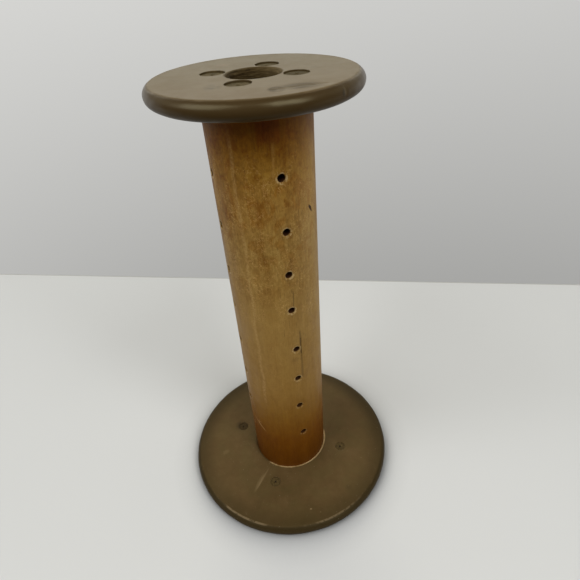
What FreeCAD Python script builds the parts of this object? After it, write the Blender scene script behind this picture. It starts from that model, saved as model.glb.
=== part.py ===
import FreeCAD, Part
import math
import os
import Sketcher

# Empty textile spool: a hollow hardwood barrel between two painted hardwood heads.
# Frame: millimetres, +Z along the spindle bore, origin at the middle of the lower
# head's outer face. Azimuths are degrees from -Y towards +X.
# Each end of the barrel is let into a shallow round housing in its head, and four
# headed hardwood pegs go through the head into the end grain of the barrel wall.

doc = FreeCAD.newDocument("spool")
sheet = doc.addObject("Spreadsheet::Sheet", "Sizes")
sheet.Label = "Sizes"

SIZES = [
    ("overall_height", 261.9),
    ("head_thickness", 7.94),
    ("upper_head_dia", 95.25),
    ("lower_head_dia", 141.3),
    ("rim_bulge", 3.0),
    ("barrel_dia", 50.2),
    ("bore_dia", 21.2),
    ("bore_bevel_width", 2.25),
    ("bore_bevel_depth", 1.4),
    ("housing_depth", 2.4),
    ("housing_bevel_width", 1.2),
    ("housing_bevel_depth", 0.45),
    ("glue_gap", 0.05),
    ("barrel_end_bevel", 0.4),
    ("peg_circle_dia", 38.1),
    ("peg_head_dia", 11.1),
    ("peg_head_length", 2.4),
    ("peg_recess", 0.8),
    ("peg_shank_dia", 7.94),
    ("peg_grip", 22.0),
    ("peg_hole_spare", 1.0),
    ("peg_point_bevel", 0.8),
    ("peg_prick_dia", 1.9),
    ("peg_prick_depth", 0.7),
    ("upper_peg_azimuth", 160.0),
    ("lower_peg_azimuth", 159.2),
    ("socket_circle_dia", 76.2),
    ("socket_dia", 6.35),
    ("socket_azimuth", 159.2),
    ("plug_dia", 6.7),
    ("plug_length", 2.4),
    ("plug_sink", 0.15),
    ("plug_prick_dia", 1.5),
    ("plug_prick_depth", 0.6),
    ("thread_hole_dia", 4.0),
    ("front_rows_azimuth", 18.5),
    ("side_rows_azimuth", 108.5),
]
# The thread holes were marked out by hand, so their heights and their drift off a
# straight row differ from hole to hole. Each hole is bored across the barrel, so it
# shows in two opposite rows.
FRONT_HEIGHTS = [223.4, 196.4, 172.1, 149.1, 120.2, 96.3, 71.4, 43.7]
FRONT_DRIFTS = [-0.40, 0.05, -0.45, -0.42, 0.72, 0.34, 0.04, 1.30]
SIDE_HEIGHTS = [222.6, 195.9, 169.7, 145.3, 119.3, 93.2, 68.6, 42.8]
SIDE_DRIFTS = [0.45, -0.30, -0.35, 0.50, -0.40, -0.10, -0.25, 0.30]
for row_name, heights, drifts in (
    ("front", FRONT_HEIGHTS, FRONT_DRIFTS),
    ("side", SIDE_HEIGHTS, SIDE_DRIFTS),
):
    for k, (height, drift) in enumerate(zip(heights, drifts), start=1):
        SIZES.append(("%s_hole_height_%d" % (row_name, k), height))
        SIZES.append(("%s_hole_drift_%d" % (row_name, k), drift))

V = {}
for line, (alias, value) in enumerate(SIZES, start=1):
    sheet.set("A%d" % line, alias.replace("_", " "))
    sheet.set("B%d" % line, str(value))
    sheet.setAlias("B%d" % line, alias)
    V[alias] = value
doc.recompute()


def s(alias):
    return "Sizes." + alias


def origin_plane(body, role):
    for feature in body.Origin.OriginFeatures:
        if feature.Role == role:
            return feature
    raise RuntimeError("no " + role)


def new_body(label):
    body = doc.addObject("PartDesign::Body", label)
    body.Label = label
    return body


def new_sketch(body, name, role, lift=None, turn=None):
    """A sketch on one of the body's own planes, lifted along its normal and turned about global Z by sheet values."""
    sketch = body.newObject("Sketcher::SketchObject", name)
    sketch.AttachmentSupport = [(origin_plane(body, role), "")]
    sketch.MapMode = "FlatFace"
    if turn:
        sketch.AttachmentOffset = FreeCAD.Placement(
            FreeCAD.Vector(0, 0, 0), FreeCAD.Rotation(FreeCAD.Vector(0, 1, 0), turn[0])
        )
        sketch.setExpression("AttachmentOffset.Rotation.Angle", turn[1])
    if lift:
        sketch.AttachmentOffset = FreeCAD.Placement(
            FreeCAD.Vector(0, 0, lift[0]), FreeCAD.Rotation()
        )
        sketch.setExpression("AttachmentOffset.Base.z", lift[1])
    return sketch


def place_point(sketch, geo, pos, x, y, name):
    """Ties a point to the sheet. x and y are (value, expression), or None on the axis."""
    if x is None:
        sketch.addConstraint(Sketcher.Constraint("PointOnObject", geo, pos, -2))
    else:
        i = sketch.addConstraint(
            Sketcher.Constraint("DistanceX", -1, 1, geo, pos, x[0])
        )
        sketch.renameConstraint(i, name + "_x")
        sketch.setExpression("Constraints." + name + "_x", x[1])
    if y is None:
        sketch.addConstraint(Sketcher.Constraint("PointOnObject", geo, pos, -1))
    else:
        i = sketch.addConstraint(
            Sketcher.Constraint("DistanceY", -1, 1, geo, pos, y[0])
        )
        sketch.renameConstraint(i, name + "_y")
        sketch.setExpression("Constraints." + name + "_y", y[1])


def outline(sketch, corners, arcs=None):
    """A closed outline through the corners. arcs maps an edge's number to (value, expression, middle point) of an arc's radius."""
    arcs = arcs or {}
    at = [
        FreeCAD.Vector(x[0] if x else 0.0, y[0] if y else 0.0, 0) for x, y in corners
    ]
    n = len(at)
    for k in range(n):
        a, b = at[k], at[(k + 1) % n]
        if k in arcs:
            sketch.addGeometry(
                Part.Arc(a, FreeCAD.Vector(arcs[k][2][0], arcs[k][2][1], 0), b), False
            )
        else:
            sketch.addGeometry(Part.LineSegment(a, b), False)
    ends = []
    for k in range(n):
        geometry = sketch.Geometry[k]
        forward = (geometry.StartPoint - at[k]).Length < 1e-6
        ends.append((1, 2) if forward else (2, 1))
    for k in range(n):
        j = (k + 1) % n
        sketch.addConstraint(
            Sketcher.Constraint("Coincident", k, ends[k][1], j, ends[j][0])
        )
    for k, (x, y) in enumerate(corners):
        place_point(sketch, k, ends[k][0], x, y, "corner%d" % (k + 1))
    for k, arc in arcs.items():
        i = sketch.addConstraint(Sketcher.Constraint("Radius", k, arc[0]))
        sketch.renameConstraint(i, "arc%d" % (k + 1))
        sketch.setExpression("Constraints.arc%d" % (k + 1), arc[1])


def circle(sketch, x, y, dia, name):
    i = sketch.addGeometry(
        Part.Circle(
            FreeCAD.Vector(x[0], y[0], 0), FreeCAD.Vector(0, 0, 1), dia[0] / 2
        ),
        False,
    )
    place_point(sketch, i, 3, x, y, name)
    c = sketch.addConstraint(Sketcher.Constraint("Diameter", i, dia[0]))
    sketch.renameConstraint(c, name + "_dia")
    sketch.setExpression("Constraints." + name + "_dia", dia[1])


def revolve(body, sketch, name):
    feature = body.newObject("PartDesign::Revolution", name)
    feature.Profile = sketch
    feature.ReferenceAxis = (sketch, ["V_Axis"])
    feature.Angle = 360
    sketch.Visibility = False
    doc.recompute()
    return feature


def must_cut(body, feature, before, name):
    """A pocket that points away from the solid cuts nothing, so its volume is compared."""
    doc.recompute()
    after = feature.Shape.Volume
    if not after < before - 1e-3:
        raise RuntimeError("%s cut nothing from %s" % (name, body.Label))
    return after


def bore_pocket(body, sketch, name, depth, upwards):
    """A blind pocket from the sketch's plane, along +Z if upwards, else along -Z."""
    before = body.Tip.Shape.Volume
    feature = body.newObject("PartDesign::Pocket", name)
    feature.Profile = sketch
    feature.Type = "Length"
    feature.Length = depth[0]
    feature.setExpression("Length", depth[1])
    feature.Reversed = upwards
    sketch.Visibility = False
    must_cut(body, feature, before, name)
    return feature


def four_round(body, feature, sketch, name):
    before = feature.Shape.Volume
    pattern = body.newObject("PartDesign::PolarPattern", name)
    pattern.Originals = [feature]
    pattern.Axis = (sketch, ["N_Axis"])
    pattern.Angle = 360
    pattern.Occurrences = 4
    body.Tip = pattern
    must_cut(body, pattern, before, name)
    return pattern


def on_circle(circle_alias, azimuth_alias):
    radius = V[circle_alias] / 2
    angle = math.radians(V[azimuth_alias])
    return (
        (
            radius * math.sin(angle),
            "%s / 2 * sin(%s)" % (s(circle_alias), s(azimuth_alias)),
        ),
        (
            -radius * math.cos(angle),
            "-%s / 2 * cos(%s)" % (s(circle_alias), s(azimuth_alias)),
        ),
    )


def half(alias, extra=0.0, extra_text=""):
    return (V[alias] / 2 + extra, s(alias) + " / 2" + extra_text)


H = V["overall_height"]
T = V["head_thickness"]
BARREL_LOW = (
    T - V["housing_depth"],
    s("head_thickness") + " - " + s("housing_depth"),
)
BARREL_HIGH = (
    H - T + V["housing_depth"],
    s("overall_height") + " - " + s("head_thickness") + " + " + s("housing_depth"),
)
COUNTERBORE = (
    V["peg_recess"] + V["peg_head_length"],
    s("peg_recess") + " + " + s("peg_head_length"),
)

# ---------------------------------------------------------------- barrel
barrel = new_body("barrel")
c = V["barrel_end_bevel"]
ct = s("barrel_end_bevel")
sk = new_sketch(barrel, "barrel_section", "XZ_Plane")
outline(
    sk,
    [
        (half("bore_dia"), BARREL_LOW),
        (half("barrel_dia", -c, " - " + ct), BARREL_LOW),
        (half("barrel_dia"), (BARREL_LOW[0] + c, BARREL_LOW[1] + " + " + ct)),
        (half("barrel_dia"), (BARREL_HIGH[0] - c, BARREL_HIGH[1] + " - " + ct)),
        (half("barrel_dia", -c, " - " + ct), BARREL_HIGH),
        (half("bore_dia"), BARREL_HIGH),
    ],
)
revolve(barrel, sk, "barrel_turning")

for row_name, azimuth in (
    ("front", "front_rows_azimuth"),
    ("side", "side_rows_azimuth"),
):
    sk = new_sketch(
        barrel, row_name + "_holes", "XZ_Plane", turn=(V[azimuth], s(azimuth))
    )
    for k in range(1, 9):
        drift = "%s_hole_drift_%d" % (row_name, k)
        height = "%s_hole_height_%d" % (row_name, k)
        circle(
            sk,
            (V[drift], s(drift)),
            (V[height], s(height)),
            (V["thread_hole_dia"], s("thread_hole_dia")),
            "hole%d" % k,
        )
    before = barrel.Tip.Shape.Volume
    pocket = barrel.newObject("PartDesign::Pocket", row_name + "_hole_rows")
    pocket.Profile = sk
    pocket.Type = "ThroughAll"
    pocket.Midplane = True
    sk.Visibility = False
    must_cut(barrel, pocket, before, row_name + "_hole_rows")

for end, level, azimuth, upwards in (
    ("upper", BARREL_HIGH, "upper_peg_azimuth", False),
    ("lower", BARREL_LOW, "lower_peg_azimuth", True),
):
    sk = new_sketch(barrel, end + "_peg_hole", "XY_Plane", lift=level)
    x, y = on_circle("peg_circle_dia", azimuth)
    circle(
        sk,
        x,
        y,
        (
            V["peg_shank_dia"] + 2 * V["glue_gap"],
            s("peg_shank_dia") + " + 2 * " + s("glue_gap"),
        ),
        "peg_hole",
    )
    feature = bore_pocket(
        barrel,
        sk,
        end + "_peg_bore",
        (
            V["peg_grip"] + V["peg_hole_spare"],
            s("peg_grip") + " + " + s("peg_hole_spare"),
        ),
        upwards,
    )
    four_round(barrel, feature, sk, end + "_peg_bores")


# ---------------------------------------------------------------- heads
def build_head(label, dia, azimuth, upper):
    """A turned disc with a rounded rim, a bevelled spindle bore and a housing for the barrel in its inner face."""
    body = new_body(label)
    base = (H - T) if upper else 0.0
    base_text = (s("overall_height") + " - " + s("head_thickness")) if upper else "0"

    def z(value, text):
        return (base + value, base_text + " + " + text)

    low = z(0.0, "0 * " + s("head_thickness")) if upper else None
    high = z(T, s("head_thickness"))
    gap = (V["glue_gap"], " + " + s("glue_gap"))
    mouth = (V["housing_bevel_width"], " + " + s("housing_bevel_width"))
    bevel = (V["bore_bevel_width"], " + " + s("bore_bevel_width"))
    rim_x = (
        V[dia] / 2 - V["rim_bulge"],
        s(dia) + " / 2 - " + s("rim_bulge"),
    )
    bulge = V["rim_bulge"]
    radius = ((T / 2) ** 2 + bulge**2) / (2 * bulge)
    radius_text = "((%s / 2)^2 + %s^2) / (2 * %s)" % (
        s("head_thickness"),
        s("rim_bulge"),
        s("rim_bulge"),
    )
    middle = (V[dia] / 2, base + T / 2)
    if upper:
        housing = z(V["housing_depth"], s("housing_depth"))
        corners = [
            (half("bore_dia"), housing),
            (half("barrel_dia", *gap), housing),
            (
                half("barrel_dia", *gap),
                z(V["housing_bevel_depth"], s("housing_bevel_depth")),
            ),
            (half("barrel_dia", *mouth), low),
            (rim_x, low),
            (rim_x, high),
            (half("bore_dia", *bevel), high),
            (
                half("bore_dia"),
                z(
                    T - V["bore_bevel_depth"],
                    s("head_thickness") + " - " + s("bore_bevel_depth"),
                ),
            ),
        ]
        arcs = {4: (radius, radius_text, middle)}
    else:
        housing = z(
            T - V["housing_depth"], s("head_thickness") + " - " + s("housing_depth")
        )
        corners = [
            (half("bore_dia"), z(V["bore_bevel_depth"], s("bore_bevel_depth"))),
            (half("bore_dia", *bevel), low),
            (rim_x, low),
            (rim_x, high),
            (half("barrel_dia", *mouth), high),
            (
                half("barrel_dia", *gap),
                z(
                    T - V["housing_bevel_depth"],
                    s("head_thickness") + " - " + s("housing_bevel_depth"),
                ),
            ),
            (half("barrel_dia", *gap), housing),
            (half("bore_dia"), housing),
        ]
        arcs = {2: (radius, radius_text, middle)}
    sk = new_sketch(body, label + "_section", "XZ_Plane")
    outline(sk, corners, arcs)
    revolve(body, sk, label + "_turning")

    outer = (H, s("overall_height")) if upper else None
    for name, bore, depth in (
        (
            "counterbore",
            (
                V["peg_head_dia"] + 2 * V["glue_gap"],
                s("peg_head_dia") + " + 2 * " + s("glue_gap"),
            ),
            COUNTERBORE,
        ),
        (
            "peg_hole",
            (
                V["peg_shank_dia"] + 2 * V["glue_gap"],
                s("peg_shank_dia") + " + 2 * " + s("glue_gap"),
            ),
            (T, s("head_thickness")),
        ),
    ):
        sk = new_sketch(body, label + "_" + name, "XY_Plane", lift=outer)
        x, y = on_circle("peg_circle_dia", azimuth)
        circle(sk, x, y, bore, name)
        feature = bore_pocket(body, sk, label + "_" + name + "_cut", depth, not upper)
        four_round(body, feature, sk, label + "_" + name + "s")
    return body


upper_head = build_head("upper_head", "upper_head_dia", "upper_peg_azimuth", True)
lower_head = build_head("lower_head", "lower_head_dia", "lower_peg_azimuth", False)

# Four sockets for a driving plate's pins, bored right through the lower head, with a
# wider seat on the thread side for the short plug that closes each.
PLUG_SEAT = (
    V["plug_sink"] + V["plug_length"],
    s("plug_sink") + " + " + s("plug_length"),
)
for name, bore, depth, lift in (
    (
        "drive_socket",
        (V["socket_dia"], s("socket_dia")),
        (T, s("head_thickness")),
        None,
    ),
    (
        "plug_seat",
        (
            V["plug_dia"] + 2 * V["glue_gap"],
            s("plug_dia") + " + 2 * " + s("glue_gap"),
        ),
        PLUG_SEAT,
        (T, s("head_thickness")),
    ),
):
    sk = new_sketch(lower_head, name, "XY_Plane", lift=lift)
    x, y = on_circle("socket_circle_dia", "socket_azimuth")
    circle(sk, x, y, bore, name)
    feature = bore_pocket(lower_head, sk, name + "_bore", depth, lift is None)
    four_round(lower_head, feature, sk, name + "s")


# ---------------------------------------------------------------- pegs and plugs
def stand(body, circle_alias, azimuth_alias, quarter, level, flipped):
    """Places a body on its circle, a number of quarter turns on from the first."""
    angle = math.radians(V[azimuth_alias] + 90 * quarter)
    radius = V[circle_alias] / 2
    turn = (
        FreeCAD.Rotation(FreeCAD.Vector(1, 0, 0), 180)
        if flipped
        else FreeCAD.Rotation()
    )
    body.Placement = FreeCAD.Placement(
        FreeCAD.Vector(radius * math.sin(angle), -radius * math.cos(angle), level[0]),
        turn,
    )
    text = "(%s + %d)" % (s(azimuth_alias), 90 * quarter)
    body.setExpression(
        "Placement.Base.x", "%s / 2 * sin%s" % (s(circle_alias), text)
    )
    body.setExpression(
        "Placement.Base.y", "-%s / 2 * cos%s" % (s(circle_alias), text)
    )
    body.setExpression("Placement.Base.z", level[1])


def build_peg(label, azimuth_alias, quarter, upper):
    """A headed peg in its own frame: head face at the origin, shank along -Z, with a lathe centre's prick in the head."""
    body = new_body(label)
    shank = V["peg_head_length"] + (T - COUNTERBORE[0] - V["housing_depth"]) + V["peg_grip"]
    shank_text = (
        s("peg_head_length")
        + " + "
        + s("head_thickness")
        + " - "
        + s("peg_recess")
        + " - "
        + s("peg_head_length")
        + " - "
        + s("housing_depth")
        + " + "
        + s("peg_grip")
    )
    b = V["peg_point_bevel"]
    sk = new_sketch(body, label + "_section", "XZ_Plane")
    outline(
        sk,
        [
            (None, (-V["peg_prick_depth"], "-" + s("peg_prick_depth"))),
            (None, (-shank, "-(" + shank_text + ")")),
            (
                half("peg_shank_dia", -b, " - " + s("peg_point_bevel")),
                (-shank, "-(" + shank_text + ")"),
            ),
            (
                half("peg_shank_dia"),
                (-shank + b, "-(" + shank_text + ") + " + s("peg_point_bevel")),
            ),
            (
                half("peg_shank_dia"),
                (-V["peg_head_length"], "-" + s("peg_head_length")),
            ),
            (
                half("peg_head_dia"),
                (-V["peg_head_length"], "-" + s("peg_head_length")),
            ),
            (half("peg_head_dia"), None),
            (half("peg_prick_dia"), None),
        ],
    )
    revolve(body, sk, label + "_turning")
    if upper:
        level = (H - V["peg_recess"], s("overall_height") + " - " + s("peg_recess"))
    else:
        level = (V["peg_recess"], s("peg_recess"))
    stand(body, "peg_circle_dia", azimuth_alias, quarter, level, not upper)
    return body


def build_plug(label, quarter):
    """A short plug in its own frame: thread-side face at the origin, body along -Z."""
    body = new_body(label)
    deep = (-V["plug_length"], "-" + s("plug_length"))
    sk = new_sketch(body, label + "_section", "XZ_Plane")
    outline(
        sk,
        [
            (None, (-V["plug_prick_depth"], "-" + s("plug_prick_depth"))),
            (None, deep),
            (half("plug_dia"), deep),
            (half("plug_dia"), None),
            (half("plug_prick_dia"), None),
        ],
    )
    revolve(body, sk, label + "_turning")
    level = (
        T - V["plug_sink"],
        s("head_thickness") + " - " + s("plug_sink"),
    )
    stand(body, "socket_circle_dia", "socket_azimuth", quarter, level, False)
    return body


bodies = [barrel, upper_head, lower_head]
for quarter in range(4):
    bodies.append(
        build_peg("upper_head_peg_%d" % (quarter + 1), "upper_peg_azimuth", quarter, True)
    )
for quarter in range(4):
    bodies.append(
        build_peg("lower_head_peg_%d" % (quarter + 1), "lower_peg_azimuth", quarter, False)
    )
for quarter in range(4):
    bodies.append(build_plug("drive_socket_plug_%d" % (quarter + 1), quarter))

doc.recompute()

# ---------------------------------------------------------------- check and write
for obj in doc.Objects:
    if "Invalid" in obj.State or "Error" in obj.State:
        raise RuntimeError("%s is %s" % (obj.Name, obj.State))
for body in bodies:
    shape = body.Shape
    if shape.isNull() or not shape.isValid() or len(shape.Solids) != 1:
        raise RuntimeError("%s has no single valid solid" % body.Label)

os.makedirs("parts", exist_ok=True)
for body in bodies:
    body.Shape.exportStep(os.path.join("parts", body.Label + ".step"))
    box = body.Shape.BoundBox
    print(
        "%-22s %9.1f mm3  x %.1f..%.1f  y %.1f..%.1f  z %.2f..%.2f"
        % (
            body.Label,
            body.Shape.Volume,
            box.XMin,
            box.XMax,
            box.YMin,
            box.YMax,
            box.ZMin,
            box.ZMax,
        )
    )
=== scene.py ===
import math

import bmesh
import bpy
from mathutils import Matrix, Vector, noise
from mathutils.geometry import delaunay_2d_cdt


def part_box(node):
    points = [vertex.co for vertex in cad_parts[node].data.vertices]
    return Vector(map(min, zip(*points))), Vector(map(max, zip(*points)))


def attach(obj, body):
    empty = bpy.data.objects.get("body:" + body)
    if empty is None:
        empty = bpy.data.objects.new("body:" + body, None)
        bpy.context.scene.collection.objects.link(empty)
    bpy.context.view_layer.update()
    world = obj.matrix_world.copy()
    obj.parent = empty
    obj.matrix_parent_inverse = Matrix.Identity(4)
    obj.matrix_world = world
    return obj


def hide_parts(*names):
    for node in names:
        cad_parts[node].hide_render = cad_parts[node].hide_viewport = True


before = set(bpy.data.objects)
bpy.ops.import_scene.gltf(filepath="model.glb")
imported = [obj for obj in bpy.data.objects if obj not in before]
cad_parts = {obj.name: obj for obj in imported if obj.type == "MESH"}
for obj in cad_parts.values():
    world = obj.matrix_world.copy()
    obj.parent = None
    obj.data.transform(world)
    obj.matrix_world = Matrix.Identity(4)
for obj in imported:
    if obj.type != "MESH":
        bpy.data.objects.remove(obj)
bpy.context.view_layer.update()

# ------------------------------------------------------------------ sizes, millimetres
H = 1000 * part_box("upper_head")[1].z
T = 7.94
R_UPPER = 500 * (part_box("upper_head")[1].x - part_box("upper_head")[0].x)
R_LOWER = 500 * (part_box("lower_head")[1].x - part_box("lower_head")[0].x)
R_UPPER, R_LOWER = max(R_UPPER, 47.6), max(R_LOWER, 70.6)
BULGE = 3.0
R_BARREL = 25.1
R_BORE = 10.6
HOUSING = 2.4
R_HOUSING = 25.15
BARREL_LOW, BARREL_HIGH = T - HOUSING, H - T + HOUSING
PEG_CIRCLE = 19.05
R_COUNTERBORE, R_PEG_HOLE = 5.6, 4.02
R_PEG_HEAD, R_SHANK = 5.55, 3.97
PEG_RECESS, PEG_HEAD = 0.8, 2.4
SOCKET_CIRCLE, R_SOCKET, R_PLUG_SEAT, R_PLUG = 38.1, 3.175, 3.4, 3.35
PLUG_SINK, PLUG_LENGTH = 0.15, 2.4
UPPER_PEG_AZ, LOWER_PEG_AZ, SOCKET_AZ = 160.0, 159.2, 159.2
R_THREAD = 2.0
ROWS = (
    (
        18.5,
        (223.4, 196.4, 172.1, 149.1, 120.2, 96.3, 71.4, 43.7),
        (-0.40, 0.05, -0.45, -0.42, 0.72, 0.34, 0.04, 1.30),
    ),
    (
        108.5,
        (222.6, 195.9, 169.7, 145.3, 119.3, 93.2, 68.6, 42.8),
        (0.45, -0.30, -0.35, 0.50, -0.40, -0.10, -0.25, 0.30),
    ),
)


def polar(radius, azimuth_deg):
    a = math.radians(azimuth_deg)
    return radius * math.sin(a), -radius * math.cos(a)


def smooth(t):
    t = min(1.0, max(0.0, t))
    return t * t * (3 - 2 * t)


# ------------------------------------------------------------------ mesh building
class Shell:
    """Points in millimetres and faces between them. Points at one place are one point."""

    def __init__(self):
        self.points, self.faces, self.at = [], [], {}

    def pt(self, x, y, z):
        key = (round(x, 3), round(y, 3), round(z, 3))
        if key not in self.at:
            self.at[key] = len(self.points)
            self.points.append((x, y, z))
        return self.at[key]

    def face(self, *ids):
        clean = [i for k, i in enumerate(ids) if i != ids[k - 1]]
        if len(set(clean)) == len(clean) and len(clean) > 2:
            self.faces.append(clean)

    def strip(self, low, high):
        """Joins two closed loops of the same length."""
        n = len(low)
        for k in range(n):
            j = (k + 1) % n
            self.face(low[k], low[j], high[j], high[k])

    def fan(self, loop, centre):
        n = len(loop)
        for k in range(n):
            self.face(loop[k], loop[(k + 1) % n], centre)


def ring(cx, cy, radius, n):
    return [
        (
            cx + radius * math.cos(2 * math.pi * k / n),
            cy + radius * math.sin(2 * math.pi * k / n),
        )
        for k in range(n)
    ]


def lathe(shell, cx, cy, profile, n, put):
    """Turns a profile of (radius, w) about a point. put maps x, y, w to the frame."""
    loops = []
    for radius, w in profile:
        if radius < 1e-6:
            loops.append(shell.pt(*put(cx, cy, w)))
        else:
            loops.append([shell.pt(*put(x, y, w)) for x, y in ring(cx, cy, radius, n)])
    for a, b in zip(loops, loops[1:]):
        if isinstance(a, int):
            shell.fan(b, a)
        elif isinstance(b, int):
            shell.fan(a, b)
        else:
            shell.strip(a, b)


def triangulate(points, loops, keep):
    """A constrained triangulation of flat points. loops are lists of point numbers."""
    edges = [
        (loop[k], loop[(k + 1) % len(loop)]) for loop in loops for k in range(len(loop))
    ]
    verts, _, faces, origin, _, _ = delaunay_2d_cdt(
        [Vector(p) for p in points], edges, [], 0, 1e-7
    )
    out = []
    for f in faces:
        x = sum(verts[i].x for i in f) / 3
        y = sum(verts[i].y for i in f) / 3
        if keep(x, y):
            out.append([origin[i][0] if origin[i] else None for i in f])
    return [f for f in out if None not in f]


def round_face(shell, r_in, r_out, n_in, n_out, holes, pitch, level, put, extra=()):
    """A flat annulus with round holes. holes are (x, y, radius, n, soft), soft the width of each hole's rounded edge."""
    points, loops = [], []

    def add_loop(loop):
        start = len(points)
        points.extend(loop)
        loops.append(list(range(start, len(points))))

    add_loop(ring(0, 0, r_out, n_out))
    add_loop(ring(0, 0, r_in, n_in))
    for x, y, radius, n, _ in holes:
        add_loop(ring(x, y, radius, n))
    free = []
    for x, y, radius, n, soft in holes:
        steps = [0.12, 0.3, 0.6, 1.0] if soft else [0.8]
        for k, step in enumerate(steps):
            reach = radius + (soft * step if soft else step)
            turn = math.pi / n * (k % 2)
            free.extend(
                (
                    x + reach * math.cos(2 * math.pi * j / n + turn),
                    y + reach * math.sin(2 * math.pi * j / n + turn),
                )
                for j in range(n)
            )
    for radius, n in ((r_out - 0.22, n_out), (r_out - 0.8, n_out), (r_in + 0.3, n_in)):
        turn = math.pi / n
        free.extend(
            (radius * math.cos(2 * math.pi * j / n + turn), radius * math.sin(2 * math.pi * j / n + turn))
            for j in range(n)
        )

    def clear(x, y, margin):
        r = math.hypot(x, y)
        if not r_in + margin < r < r_out - 1.2 * margin:
            return False
        return all(math.hypot(x - a, y - b) > c + s + margin for a, b, c, _, s in holes)

    rows = int(2 * r_out / (pitch * 0.866)) + 1
    for j in range(rows):
        y = -r_out + j * pitch * 0.866
        for i in range(int(2 * r_out / pitch) + 1):
            x = -r_out + (i + 0.5 * (j % 2)) * pitch
            if clear(x, y, 0.6 * pitch) and math.hypot(x, y) < r_out - 1.2:
                free.append((x, y))
    free.extend(p for p in extra if clear(p[0], p[1], 0.3))
    points.extend(free)

    def keep(x, y):
        r = math.hypot(x, y)
        return r_in * math.cos(math.pi / n_in) * 0.9999 < r < r_out and all(
            math.hypot(x - a, y - b) > c * math.cos(math.pi / n) * 0.9995
            for a, b, c, n, _ in holes
        )

    def soft_drop(x, y):
        drop = 0.0
        for a, b, c, _, s in holes:
            if s:
                d = (math.hypot(x - a, y - b) - c) / s
                if d < 1:
                    drop = max(drop, 0.6 * s * (1 - math.sqrt(max(0.0, 1 - (1 - d) ** 2))))
        return drop

    ids = {}
    for f in triangulate(points, loops, keep):
        row = []
        for i in f:
            if i not in ids:
                x, y = points[i]
                ids[i] = shell.pt(*put(x, y, level + soft_drop(x, y)))
            row.append(ids[i])
        shell.face(*row)


def to_object(shell, name, sharp=38.0, shift=None):
    """Makes the Blender object, in metres. shift moves each point by its place and normal."""
    bm = bmesh.new()
    for p in shell.points:
        bm.verts.new(p)
    bm.verts.ensure_lookup_table()
    for f in shell.faces:
        try:
            bm.faces.new([bm.verts[i] for i in f])
        except ValueError:
            pass
    bmesh.ops.remove_doubles(bm, verts=bm.verts, dist=0.002)
    loose = [v for v in bm.verts if not v.link_faces]
    bmesh.ops.delete(bm, geom=loose, context="VERTS")
    bmesh.ops.recalc_face_normals(bm, faces=bm.faces)
    bm.normal_update()
    if shift:
        moves = [(v, shift(v.co.x, v.co.y, v.co.z, v.normal)) for v in bm.verts]
        for v, move in moves:
            v.co += move
    bmesh.ops.scale(bm, vec=(0.001,) * 3, verts=bm.verts)
    bm.normal_update()
    for f in bm.faces:
        f.smooth = True
    for e in bm.edges:
        e.smooth = not (
            len(e.link_faces) == 2 and e.calc_face_angle(0) > math.radians(sharp)
        )
    open_edges = sum(1 for e in bm.edges if len(e.link_faces) != 2)
    volume = bm.calc_volume(signed=True) * 1e9
    mesh = bpy.data.meshes.new(name)
    bm.to_mesh(mesh)
    bm.free()
    obj = bpy.data.objects.new(name, mesh)
    bpy.context.scene.collection.objects.link(obj)
    print(
        f"{name}: {len(mesh.vertices)} points, {open_edges} open edges, {volume:.1f} mm3"
    )
    return obj


def lump(x, y, z, size, seed):
    """Smooth noise from -1 to 1 whose bumps are about size millimetres."""
    return noise.noise(Vector((x / size + 17.3 * seed, y / size - 5.1 * seed, z / size + 3.7 * seed)))


# ------------------------------------------------------------------ barrel
SEAM = math.radians(153.5 - 360)
OPENINGS = []
for azimuth, heights, drifts in ROWS:
    for height, drift in zip(heights, drifts):
        OPENINGS.append((math.radians(azimuth), height, drift))
        OPENINGS.append(
            (math.radians(azimuth + 180 if azimuth + 180 < 153.5 else azimuth - 180), height, -drift)
        )
CRACK = (math.radians(26.4), 121.0)
NICK = (math.radians(54.8), 203.5)
N_HOLE = 40


def near_opening(az, z, radius, margin):
    for a, h, d in OPENINGS:
        if abs(z - h) < R_THREAD + margin and abs(az - a) < 0.6:
            u = radius * math.sin(az - a)
            if math.hypot(u - d, z - h) < R_THREAD + margin:
                return True
    return False


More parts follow.
